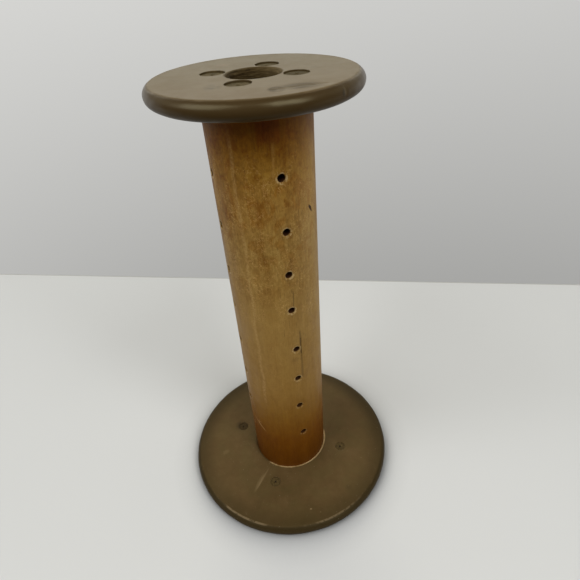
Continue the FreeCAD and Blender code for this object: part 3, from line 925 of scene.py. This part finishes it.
    # the check beside the fifth hole and its stain, the nick's dark floor
    line = k.math("ABSOLUTE", k.math("SUBTRACT", s, k.math("ADD", CRACK[0] * R_BARREL, k.math("MULTIPLY", k.math("SUBTRACT", k.noise((60.0, 60.0, 5.0), 2.0, seed=8), 0.5), 0.8))))
    dark = k.math("MULTIPLY", k.remap(line, 0.05, 0.55, 1.0, 0.0), k.band(k.z, 116.5, 127.0, 2.0))
    faint = k.math("MULTIPLY", k.remap(line, 0.2, 1.1, 1.0, 0.0), k.times(k.band(k.z, 98.0, 131.0, 4.0), 0.35))
    colour = k.mix(k.math("MAXIMUM", k.math("MULTIPLY", dark, 0.85), faint), colour, srgb(48, 30, 12), "MIX")
    other = k.math("ABSOLUTE", k.math("SUBTRACT", s, k.math("ADD", math.radians(20.6) * R_BARREL, k.math("MULTIPLY", k.math("SUBTRACT", k.noise((60.0, 60.0, 5.0), 2.0, seed=19), 0.5), 0.8))))
    hair = k.math("MULTIPLY", k.remap(other, 0.05, 0.40, 1.0, 0.0), k.band(k.z, 149.0, 160.0, 3.0))
    hair = k.math("MAXIMUM", hair, k.times(k.remap(other, 0.05, 0.40, 1.0, 0.0), k.band(k.z, 172.0, 181.0, 4.0), 0.5))
    colour = k.mix(k.math("MULTIPLY", hair, 0.65), colour, srgb(60, 38, 14), "MIX")
    nick = k.spot(flat, (NICK[0] * R_BARREL, NICK[1]), (3.4, 0.95), -58.0)
    colour = k.mix(k.remap(nick, 0.0, 0.5), colour, srgb(66, 40, 16), "MIX")
    # grime in and round each thread hole
    stain = chips = None
    for a, h, d in OPENINGS:
        if abs(math.degrees(a) - 18.5) < 1 or abs(math.degrees(a) + 71.5) < 1:
            size = 3.4 + 0.4 * math.sin(h)
            one = k.spot(flat, (a * R_BARREL + d, h - 0.5), (size, size * 1.5))
            stain = one if stain is None else k.math("MAXIMUM", stain, one)
            lip = k.spot(flat, (a * R_BARREL + d, h - 0.1), (3.2, 3.2))
            chips = lip if chips is None else k.math("MAXIMUM", chips, lip)
    colour = k.mix(k.times(k.remap(stain, 0.0, 0.5), k.remap(k.noise(1.6, 3.0, 0.6, seed=9), 0.35, 0.7), 0.35), colour, srgb(92, 62, 24), "MIX")
    smear = k.spot(flat, (math.radians(17.5) * R_BARREL, 112.6), (3.6, 3.0))
    colour = k.mix(k.times(k.remap(smear, 0.0, 0.8), k.remap(speckle, 0.38, 0.58), 0.38), colour, srgb(88, 62, 26), "MIX")
    # pale wood chipped bare round their lips
    lip = k.times(k.band(chips, 0.13, 0.38, 0.06), k.remap(k.noise(1.3, 3.0, 0.6, seed=20), 0.42, 0.58))
    lip = k.math("MULTIPLY", lip, k.remap(k.z, 50.0, 130.0, 0.15, 0.75))
    colour = k.mix(lip, colour, srgb(186, 158, 108), "MIX")
    # painted shade: dark inside the holes and the bore
    inside = k.remap(k.r, R_BARREL - 1.2, R_BARREL - 0.28, 1.0, 0.0)
    bore = k.mix(k.noise((3.0, 3.0, 0.5), 2.0, seed=10), srgb(40, 20, 9), srgb(84, 50, 24), "MIX")
    colour = k.mix(inside, colour, bore, "MIX")
    # worn varnish: glossier where it is thick, dull where it is handled
    worn = k.noise((6.0, 6.0, 20.0), 4.0, 0.6, seed=11)
    rough = k.math("ADD", k.remap(worn, 0.3, 0.7, 0.40, 0.56), k.math("MULTIPLY", inside, 0.3), clamp=True)
    grain = k.math("ADD", k.math("MULTIPLY", fine, 0.6), k.math("MULTIPLY", streak, 0.4))
    grain = k.math("SUBTRACT", grain, k.math("MULTIPLY", fleck, 0.5))
    tool = k.noise((40.0, 40.0, 0.5), 2.0, 0.5, seed=12)
    normal = k.bump(grain, 0.35, 0.12, k.bump(tool, 0.18, 0.08))
    return k.finish(colour, rough, normal, IOR=1.24)


def paint_look(name, upper):
    """Satin olive-brown paint on a turned head, bare wood in the bore."""
    k = Look(name)
    flat_xy = k.combine(k.x, k.y, 0.0)
    radius = R_UPPER if upper else R_LOWER
    w = k.math("SUBTRACT", H, k.z) if upper else k.z
    cloud = k.noise(26.0, 3.0, 0.55, 0.3, seed=1 if upper else 2)
    small = k.noise(4.5, 3.0, 0.6, 0.3, seed=3)
    speck = k.noise(0.55, 2.0, 0.6, seed=4)
    tone = k.math("ADD", k.math("MULTIPLY", cloud, 0.55), k.math("ADD", k.math("MULTIPLY", small, 0.33), k.math("MULTIPLY", speck, 0.12)))
    if upper:
        colour = k.ramp(tone, [(0.34, srgb(93, 75, 47)), (0.5, srgb(95, 77, 49)), (0.66, srgb(98, 80, 51))])
    else:
        colour = k.ramp(tone, [(0.34, srgb(80, 63, 36)), (0.5, srgb(88, 69, 41)), (0.66, srgb(95, 76, 47))])
    if upper:
        # painted light and shade: the upper head is paler towards the front and darker towards the back
        colour = k.mix(1.0, colour, k.mix(k.remap(k.y, -42.0, 38.0, soft=False), (1.06, 1.09, 1.15, 1.0), (0.88, 0.965, 0.97, 1.0), "MIX"), "MULTIPLY")
    hue = k.remap(k.noise(15.0, 2.0, 0.5, 0.6, seed=5), 0.38, 0.64)
    colour = k.mix(k.math("MULTIPLY", hue, 0.10 if upper else 0.25), colour, srgb(82, 72, 40) if not upper else srgb(90, 78, 50), "MIX")
    # the rim keeps more gloss and a deeper colour, and its corner is rubbed pale; on the lower head that pale line
    # also paints the lamps' highlights, left and right of the front
    rim = k.remap(k.r, radius - BULGE - 0.2, radius - BULGE + 1.2)
    colour = k.mix(k.math("MULTIPLY", rim, 0.85), colour, srgb(58, 42, 19) if upper else srgb(29, 23, 12), "MIX")
    rub_and_highlight = k.band(k.r, radius - BULGE + 0.1, radius - BULGE + 0.75, 0.4)
    azimuth = k.math("MULTIPLY", k.az, 180 / math.pi)
    if upper:
        where = k.remap(k.noise(7.0, 2.0, 0.5, seed=6), 0.5, 0.7)
        rub_and_highlight = k.times(rub_and_highlight, where, 0.08)
    else:
        # painted highlight as well as wear: the pale corner line is strongest left and right of the front
        inner = k.remap(w, 4.5, 6.5)
        left = k.band(azimuth, -42.0, -21.0, 5.0)
        right = k.band(azimuth, 12.0, 30.0, 6.0)
        rest = k.math("MULTIPLY", k.remap(k.noise(9.0, 2.0, 0.5, seed=6), 0.52, 0.7), 0.35)
        where = k.math("MAXIMUM", k.math("MAXIMUM", left, k.math("MULTIPLY", right, 0.8)), rest)
        rub_and_highlight = k.times(rub_and_highlight, where, k.remap(k.noise(2.4, 2.0, 0.6, seed=7), 0.3, 0.55), inner, 0.6)
    colour = k.mix(rub_and_highlight, colour, srgb(172, 148, 112), "MIX")
    near = k.remap(w, 2.5, 4.5, 1.0, 0.0) if upper else k.remap(w, 2.5, 4.5)
    if upper:
        # smudges on the face, brown or dark
        for centre, reach, turn, tint, amount in (
            ((-16.6, -21.5), (4.8, 7.4), 0.0, srgb(66, 55, 28), 0.8),
            ((-14.5, 23.5), (4.6, 5.2), 0.0, srgb(116, 86, 58), 0.30),
            ((27.0, 0.5), (4.0, 3.4), 0.0, srgb(72, 60, 40), 0.45),
            ((36.0, -8.0), (5.0, 3.0), 100.0, srgb(112, 90, 60), 0.2),
        ):
            mask = k.times(k.remap(k.spot(flat_xy, centre, reach, turn), 0.0, 0.8), k.remap(small, 0.35, 0.6), near, amount)
            colour = k.mix(mask, colour, tint, "MIX")
        rough_patch = k.math("MAXIMUM", k.remap(k.spot(flat_xy, (7.9, -33.8), (4.2, 5.4), 4.0), 0.0, 0.4), k.math("MULTIPLY", k.remap(k.spot(flat_xy, (16.8, -31.4), (11.0, 6.6), 7.0), 0.0, 0.6), 0.85))
        patch = k.times(rough_patch, k.remap(k.noise((6.0, 2.6, 3.0), 2.0, 0.5, 0.2, seed=8), 0.28, 0.52, 0.25, 1.0), near, 0.85)
        colour = k.mix(k.math("MULTIPLY", patch, 0.92), colour, srgb(62, 47, 19), "MIX")
        bare_edge = k.remap(k.spot(flat_xy, (12.0, -37.6), (7.0, 1.9), 7.0), 0.0, 0.5)
        colour = k.mix(k.times(bare_edge, k.remap(small, 0.35, 0.55), near, 0.1), colour, srgb(150, 134, 106), "MIX")
        # the paint is dark in the break round each peg's counterbore
        turn = math.radians(UPPER_PEG_AZ)
        across = k.math("ABSOLUTE", k.math("SUBTRACT", k.math("MULTIPLY", k.x, math.sin(turn)), k.math("MULTIPLY", k.y, math.cos(turn))))
        beside = k.math("ABSOLUTE", k.math("ADD", k.math("MULTIPLY", k.x, math.cos(turn)), k.math("MULTIPLY", k.y, math.sin(turn))))
        far = k.math("SUBTRACT", k.math("MAXIMUM", across, beside), PEG_CIRCLE)
        off = k.math("MINIMUM", across, beside)
        out = k.math("SQRT", k.math("ADD", k.math("MULTIPLY", far, far), k.math("MULTIPLY", off, off)))
        hem = k.times(k.band(out, 5.0, 5.66, 0.12), k.remap(k.noise(2.6, 2.0, 0.5, seed=21), 0.30, 0.50, 0.45, 1.0))
        colour = k.mix(k.math("MULTIPLY", hem, 0.5), colour, srgb(34, 26, 14), "MIX")
        patch = k.math("MAXIMUM", patch, k.math("MULTIPLY", hem, 0.9))
        # one knocked place on the rim, right of the front
        rim_map = k.combine(k.math("MULTIPLY", k.az, radius), w, 0.0)
        knock = k.remap(k.spot(rim_map, (math.radians(45.2) * radius, 2.9), (1.0, 2.0), -12.0), 0.0, 0.6)
        colour = k.mix(k.math("MULTIPLY", knock, 0.14), colour, srgb(122, 108, 80), "MIX")
        knock = k.remap(k.spot(rim_map, (math.radians(43.6) * radius, 3.3), (1.1, 1.8), 10.0), 0.0, 0.6)
        colour = k.mix(k.math("MULTIPLY", knock, 0.45), colour, srgb(26, 19, 9), "MIX")
    else:
        # rubs, specks and one long scrape on the thread side
        for centre, reach, turn, amount in (
            ((-22.4, -32.4), (11.5, 0.9), 58.0, 0.20),
            ((-24.9, -35.2), (9.0, 1.7), 62.0, 0.16),
            ((-48.9, -7.7), (3.4, 2.2), 30.0, 0.12),
            ((8.6, -57.8), (1.0, 0.7), 0.0, 0.6),
            ((14.5, -60.5), (0.7, 0.6), 0.0, 0.3),
        ):
            mask = k.times(k.remap(k.spot(flat_xy, centre, reach, turn), 0.0, 0.6), near, amount)
            colour = k.mix(mask, colour, srgb(150, 128, 92), "MIX")
        for centre, reach, amount in (((-37.2, 14.6), 6.0, 0.75), ((-13.2, -34.2), 4.6, 0.45), ((34.9, -13.6), 3.6, 0.4), ((36.0, -46.0), 3.0, 0.25)):
            mask = k.times(k.remap(k.spot(flat_xy, centre, (reach, reach)), 0.0, 0.85), k.remap(small, 0.25, 0.55), near, amount)
            colour = k.mix(mask, colour, srgb(48, 38, 24), "MIX")
        # painted shade: the face darkens towards its rim, more towards the back and the right
        shade = k.remap(k.r, radius - 17.0, radius - 2.5)
        shade = k.math("MULTIPLY", shade, k.math("ADD", 0.55, k.math("ADD", k.math("MULTIPLY", k.remap(k.y, -40.0, 20.0), 0.3), k.math("MULTIPLY", k.remap(k.x, 10.0, 60.0), 0.15))), clamp=True)
        colour = k.mix(shade, colour, srgb(58, 46, 24), "MIX")
        # bare wood and old glue in the bevel at the barrel's foot, where the paint is gone
        bead = k.band(k.r, R_HOUSING - 0.2, R_HOUSING + 1.05, 0.22)
        side = k.band(azimuth, -36.0, 92.0, 7.0)
        bead = k.times(bead, side, k.remap(w, T - 1.4, T - 0.8))
        colour = k.mix(bead, colour, k.ramp(small, [(0.35, srgb(150, 122, 78)), (0.6, srgb(196, 168, 120))]), "MIX")
    # bare turned wood inside the bore and its bevel
    bare = k.remap(k.r, R_BORE + 1.1, R_BORE + 2.6, 1.0, 0.0)
    bare = k.math("MULTIPLY", bare, k.remap(k.noise(2.5, 3.0, 0.6, seed=9), 0.2, 0.5, 0.75, 1.0))
    turned = k.ramp(k.noise((5.0, 5.0, 0.42), 3.0, 0.6, 0.3, seed=10), [(0.32, srgb(30, 22, 11)), (0.55, srgb(66, 53, 31)), (0.72, srgb(92, 78, 52))])
    # painted light and shade inside the bore: lighter towards the right (+x), darker towards the left (-x)
    turned = k.mix(k.remap(k.x, 1.5, 10.5, 0.0, 0.36), turned, srgb(112, 97, 68), "MIX")
    turned = k.mix(k.remap(k.x, -10.0, -1.0, 0.22, 0.0), turned, srgb(34, 25, 12), "MIX")
    colour = k.mix(bare, colour, turned, "MIX")
    # dust and fine pale specks
    dust = k.times(k.remap(k.noise(0.9, 1.0, 0.5, seed=11), 0.73, 0.80), 0.0 if upper else 1.0)
    colour = k.mix(k.math("MULTIPLY", dust, 0.30), colour, srgb(160, 146, 120), "MIX")
    wear = k.noise(8.0, 4.0, 0.6, seed=12)
    rough = k.remap(wear, 0.3, 0.7, 0.49, 0.54) if upper else k.remap(wear, 0.3, 0.7, 0.46, 0.60)
    rough = k.math("SUBTRACT", rough, k.math("MULTIPLY", rim, 0.12))
    rough = k.math("ADD", rough, k.math("MULTIPLY", bare, 0.25), clamp=True)
    skin = k.noise(0.8, 3.0, 0.6, seed=13)
    brush = k.noise(3.2, 2.0, 0.5, 0.4, seed=14)
    # faint rings left by the lathe under the paint
    rings = k.noise((1.1, 1.0, 1.0), 2.0, 0.5, seed=15, at=k.combine(k.r, 0.0, 0.0))
    normal = k.bump(k.math("ADD", k.math("MULTIPLY", skin, 0.5), brush), 0.12 if upper else 0.2, 0.10, k.bump(rings, 0.12, 0.10))
    rough = k.math("SUBTRACT", rough, k.math("MULTIPLY", rim, 0.08 if upper else 0.0))
    over = k.math("MULTIPLY", rim, k.remap(w, 3.0, 5.2, 1.0, 0.0)) if upper else 0.0
    under = k.math("MULTIPLY", rim, k.remap(w, 3.6, 5.6, 0.0, 1.0)) if upper else rim
    gloss = k.math("ADD", 0.225, k.math("SUBTRACT", k.math("MULTIPLY", over, 0.46), k.math("MULTIPLY", under, 0.05)))
    if upper:
        gloss = k.math("MULTIPLY", gloss, k.math("SUBTRACT", 1.0, k.math("MULTIPLY", patch, 0.7)))
    gloss = k.math("MULTIPLY", gloss, k.math("SUBTRACT", 1.0, k.math("MULTIPLY", bare, 0.85)))
    sheen = k.mix(rim, (0.96, 0.90, 0.66, 1.0), (0.95, 0.87, 0.54, 1.0), "MIX")
    return k.finish(colour, rough, normal, IOR=1.33, Specular_IOR_Level=gloss, Specular_Tint=sheen)


def peg_look(name, upper):
    k = Look(name)
    small = k.noise(2.2, 3.0, 0.6, seed=1)
    fine = k.noise((0.5, 1.4, 3.0), 2.0, 0.6, seed=2)
    paint = k.ramp(k.math("ADD", k.math("MULTIPLY", small, 0.7), k.math("MULTIPLY", fine, 0.3)), [(0.35, srgb(68, 59, 38)), (0.52, srgb(88, 77, 53)), (0.68, srgb(104, 92, 65))])
    w = k.math("SUBTRACT", H, k.z) if upper else k.z
    # bare end grain shows where the paint missed, and all along the shank
    turn = math.radians(UPPER_PEG_AZ if upper else LOWER_PEG_AZ)
    across = k.math("ABSOLUTE", k.math("SUBTRACT", k.math("MULTIPLY", k.x, math.sin(turn)), k.math("MULTIPLY", k.y, math.cos(turn))))
    beside = k.math("ABSOLUTE", k.math("ADD", k.math("MULTIPLY", k.x, math.cos(turn)), k.math("MULTIPLY", k.y, math.sin(turn))))
    far = k.math("SUBTRACT", k.math("MAXIMUM", across, beside), PEG_CIRCLE)
    off = k.math("MINIMUM", across, beside)
    out = k.math("SQRT", k.math("ADD", k.math("MULTIPLY", far, far), k.math("MULTIPLY", off, off)))
    edge = k.remap(out, R_PEG_HEAD - 0.7, R_PEG_HEAD - 0.2)
    pit = k.math("MAXIMUM", k.remap(w, 0.92, 1.25), k.math("MULTIPLY", edge, 0.5))
    if upper:
        # the right-hand one keeps the darkest paint
        paint = k.mix(k.remap(k.x, 8.0, 14.0, 0.0, 0.45), paint, srgb(62, 54, 34), "MIX")
    wood = k.ramp(fine, [(0.35, srgb(96, 66, 34)), (0.65, srgb(150, 112, 66))])
    colour = k.mix(pit, paint, srgb(52, 38, 20), "MIX")
    colour = k.mix(k.remap(w, 3.0, 3.4), colour, wood, "MIX")
    rough = k.remap(small, 0.3, 0.7, 0.72, 0.88)
    normal = k.bump(fine, 0.3, 0.08, k.bump(small, 0.25, 0.15))
    return k.finish(colour, rough, normal, IOR=1.12)


def plug_look():
    k = Look("plug_painted_end_grain")
    small = k.noise(1.5, 3.0, 0.6, seed=1)
    fine = k.noise((0.4, 0.9, 2.0), 2.0, 0.6, seed=2)
    paint = k.ramp(k.math("ADD", k.math("MULTIPLY", small, 0.6), k.math("MULTIPLY", fine, 0.4)), [(0.35, srgb(60, 48, 24)), (0.52, srgb(78, 63, 34)), (0.68, srgb(93, 77, 46))])
    colour = k.mix(k.remap(k.z, T - PLUG_SINK - 0.35, T - PLUG_SINK - 0.08, 1.0, 0.0), paint, srgb(34, 26, 14), "MIX")
    # the left one is stained dark all over
    left = k.remap(k.math("ADD", k.x, 30.0), -1.0, 1.0, 1.0, 0.0)
    colour = k.mix(k.math("MULTIPLY", left, 0.7), colour, srgb(56, 42, 20), "MIX")
    rough = k.remap(small, 0.3, 0.7, 0.65, 0.8)
    normal = k.bump(fine, 0.3, 0.08)
    return k.finish(colour, rough, normal, IOR=1.2)


WOOD = barrel_look()
UPPER_PAINT = paint_look("upper_head_satin_paint", True)
LOWER_PAINT = paint_look("lower_head_satin_paint", False)
UPPER_PEG = peg_look("upper_peg_paint", True)
LOWER_PEG = peg_look("lower_peg_paint", False)
PLUG = plug_look()

for node, obj in made.items():
    if node == "barrel":
        look, slot = WOOD, "barrel_wood"
    elif node == "upper_head":
        look, slot = UPPER_PAINT, "upper_head_paint"
    elif node == "lower_head":
        look, slot = LOWER_PAINT, "lower_head_paint"
    elif node.startswith("upper"):
        look, slot = UPPER_PEG, "upper_peg_wood"
    elif node.startswith("lower"):
        look, slot = LOWER_PEG, "lower_peg_wood"
    else:
        look, slot = PLUG, "plug_wood"
    obj.data.materials.append(look)
    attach(obj, "root")
    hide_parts(node)


# ------------------------------------------------------------------ table, wall, light
def plain(name, colour, rough, size, amount, crevice=0.0):
    """A matt surface whose tone drifts a little from place to place; crevice sets a painted contact shadow, darkening
    its colour by ambient occlusion near a foot.
    """
    k = Look(name)
    drift = k.remap(k.noise(size, 3.0, 0.5, seed=1), 0.3, 0.7, 1.0 - amount, 1.0)
    tinted = k.mix(1.0, colour, k.combine(drift, drift, drift), "MULTIPLY")
    if crevice:
        # painted contact shadow: ambient occlusion darkens the colour near a foot
        hidden = k.new("ShaderNodeAmbientOcclusion", samples=6)
        hidden.inputs["Distance"].default_value = 0.020
        contact_shade = k.math("SUBTRACT", 1.0, k.math("MULTIPLY", k.math("SUBTRACT", 1.0, hidden.outputs["AO"]), crevice))
        tinted = k.mix(1.0, tinted, k.combine(contact_shade, contact_shade, contact_shade), "MULTIPLY")
    return k.finish(tinted, rough, k.bump(k.noise(2.0, 2.0, seed=2), 0.03, 0.1), IOR=1.2)


def quad(name, corners, material):
    mesh = bpy.data.meshes.new(name)
    mesh.from_pydata([Vector(c) * 0.001 for c in corners], [], [range(4)])
    mesh.materials.append(material)
    obj = bpy.data.objects.new(name, mesh)
    bpy.context.scene.collection.objects.link(obj)
    return obj


TABLE = plain("table_pale", srgb(213, 214, 213), 0.7, 220.0, 0.012, 0.95)
# a long bench: its far edge stands behind the spool, a little askew, and past it is the room
a, b = Vector((-248.5, 272.3)), Vector((251.6, 167.6))
along = (b - a).normalized()
back = Vector((-along.y, along.x))
p, q = a - along * 1300, b + along * 1300
# painted shade: a thin darker strip along the table's far edge
EDGE_SHADE_TONE = plain("table_back_edge_shade", srgb(186, 186, 182), 0.8, 90.0, 0.05)
strip = quad("table_back_edge_shade", [(*p, -0.5), (*q, -0.5), (*(q + back * 2.2), -0.5), (*(p + back * 2.2), -0.5)], EDGE_SHADE_TONE)
floor = quad("table", [(*(p - back * 405), 0), (*(q - back * 405), 0), (*q, 0), (*p, 0)], TABLE)


def softbox(name, azimuth, height, spread, radiance, colour=(1.0, 1.0, 1.0), away=3.0):
    """A soft rectangle of light: its azimuth, height and angular size in degrees, seen from the spool."""
    light = bpy.data.lights.new(name, "AREA")
    light.shape = "RECTANGLE"
    light.size, light.size_y = (2 * away * math.tan(math.radians(s / 2)) for s in spread)
    light.energy = radiance * math.pi * light.size * light.size_y
    light.color = colour
    a, e = math.radians(azimuth), math.radians(height)
    way = Vector((math.sin(a) * math.cos(e), -math.cos(a) * math.cos(e), math.sin(e)))
    obj = bpy.data.objects.new(name, light)
    obj.location = Vector((0.0, 0.0, 0.08)) + way * away
    obj.rotation_mode = "QUATERNION"
    obj.rotation_quaternion = (-way).to_track_quat("-Z", "Y")
    bpy.context.scene.collection.objects.link(obj)
    return obj


softbox("window_left", -62, 42, (42, 36), 3.58)
softbox("window_right", 36, 42, (30, 36), 5.0)


def room():
    """Soft light from all round: a bright band behind, pale lower down, dim overhead and on the viewer's side."""
    world = bpy.data.worlds.new("soft_room")
    world.use_nodes = True
    tree = world.node_tree
    tree.nodes.clear()

    def new(kind, **props):
        node = tree.nodes.new(kind)
        for key, value in props.items():
            setattr(node, key, value)
        return node

    def calc(op, a, b, clamp=False):
        node = new("ShaderNodeMath", operation=op, use_clamp=clamp)
        for value, target in zip((a, b), node.inputs):
            if isinstance(value, (int, float)):
                target.default_value = value
            else:
                tree.links.new(value, target)
        return node.outputs[0]

    def step(value, low, high):
        node = new("ShaderNodeMapRange", clamp=True, interpolation_type="SMOOTHSTEP")
        tree.links.new(value, node.inputs["Value"])
        node.inputs["From Min"].default_value = low
        node.inputs["From Max"].default_value = high
        return node.outputs[0]

    def blend(factor, a, b):
        """a + factor * (b - a) on plain values."""
        return calc("ADD", a, calc("MULTIPLY", factor, calc("SUBTRACT", b, a)))

    split = new("ShaderNodeSeparateXYZ")
    tree.links.new(new("ShaderNodeTexCoord").outputs["Generated"], split.inputs[0])
    x, y, z = split.outputs
    flat = calc("SQRT", calc("SUBTRACT", 1.0001, calc("MULTIPLY", z, z)), 0.0)
    ahead = calc("DIVIDE", y, flat)
    # the pale surface behind, growing brighter with height
    low = calc("ADD", calc("MULTIPLY", x, -0.06), calc("MULTIPLY", calc("MINIMUM", z, 0.1), 0.43))
    low = calc("ADD", low, 0.649)
    level = blend(step(calc("ADD", y, calc("MULTIPLY", calc("MAXIMUM", x, 0.0), 0.35)), 0.15, 0.72), VIEWER_SIDE, low)
    # the band of light between 13 and 42 degrees up: strong behind, weak at the sides
    side = blend(step(x, -0.2, 0.2), SIDE_LEFT, SIDE_RIGHT)
    band = blend(step(ahead, 0.84, 0.95), side, BEHIND)
    band = calc("MULTIPLY", band, step(ahead, -0.35, 0.05))
    rise = calc("MULTIPLY", step(z, 0.185, 0.325), calc("SUBTRACT", 1.0, step(z, 0.54, 0.66)))
    level = blend(step(z, 0.10, 0.30), level, OVERHEAD)
    level = blend(rise, level, calc("MAXIMUM", band, VIEWER_SIDE))
    # the band is warm, the rest nearly neutral
    warm = calc("MULTIPLY", rise, step(ahead, -0.3, 0.3))
    tint = new("ShaderNodeCombineXYZ")
    tree.links.new(level, tint.inputs[0])
    tree.links.new(calc("MULTIPLY", level, blend(warm, 0.998, 0.955)), tint.inputs[1])
    tree.links.new(calc("MULTIPLY", level, blend(warm, 0.970, 0.80)), tint.inputs[2])
    sky = new("ShaderNodeBackground")
    tree.links.new(tint.outputs[0], sky.inputs[0])
    tree.links.new(sky.outputs[0], new("ShaderNodeOutputWorld").inputs[0])
    return world


VIEWER_SIDE, OVERHEAD = 0.08, 0.16
SIDE_LEFT, SIDE_RIGHT, BEHIND = 0.45, 0.55, 3.75
bpy.context.scene.world = room()

# ------------------------------------------------------------------ camera
yaw, pitch, roll, focal = 0.0396576, 0.6350918, -0.0780774, 448.984
forward = Vector((math.sin(yaw) * math.cos(pitch), math.cos(yaw) * math.cos(pitch), -math.sin(pitch)))
right = Vector((math.cos(yaw), -math.sin(yaw), 0.0))
up = right.cross(forward)
cam_x = math.cos(roll) * right + math.sin(roll) * up
cam_y = -math.sin(roll) * right + math.cos(roll) * up
lens = bpy.data.cameras.new("camera")
lens.sensor_fit = "HORIZONTAL"
lens.sensor_width = 36.0
lens.lens = focal / 580 * 36.0
lens.clip_start, lens.clip_end = 0.01, 20.0
camera = bpy.data.objects.new("camera", lens)
bpy.context.scene.collection.objects.link(camera)
turn = Matrix((cam_x, cam_y, -forward)).transposed().to_4x4()
turn.translation = Vector((0.0, -0.2097543, 0.300048))
camera.matrix_world = turn
bpy.context.scene.camera = camera

view = bpy.context.scene.view_settings
view.view_transform = "Standard"
view.look = "None"
view.exposure = 0.0
view.gamma = 1.0
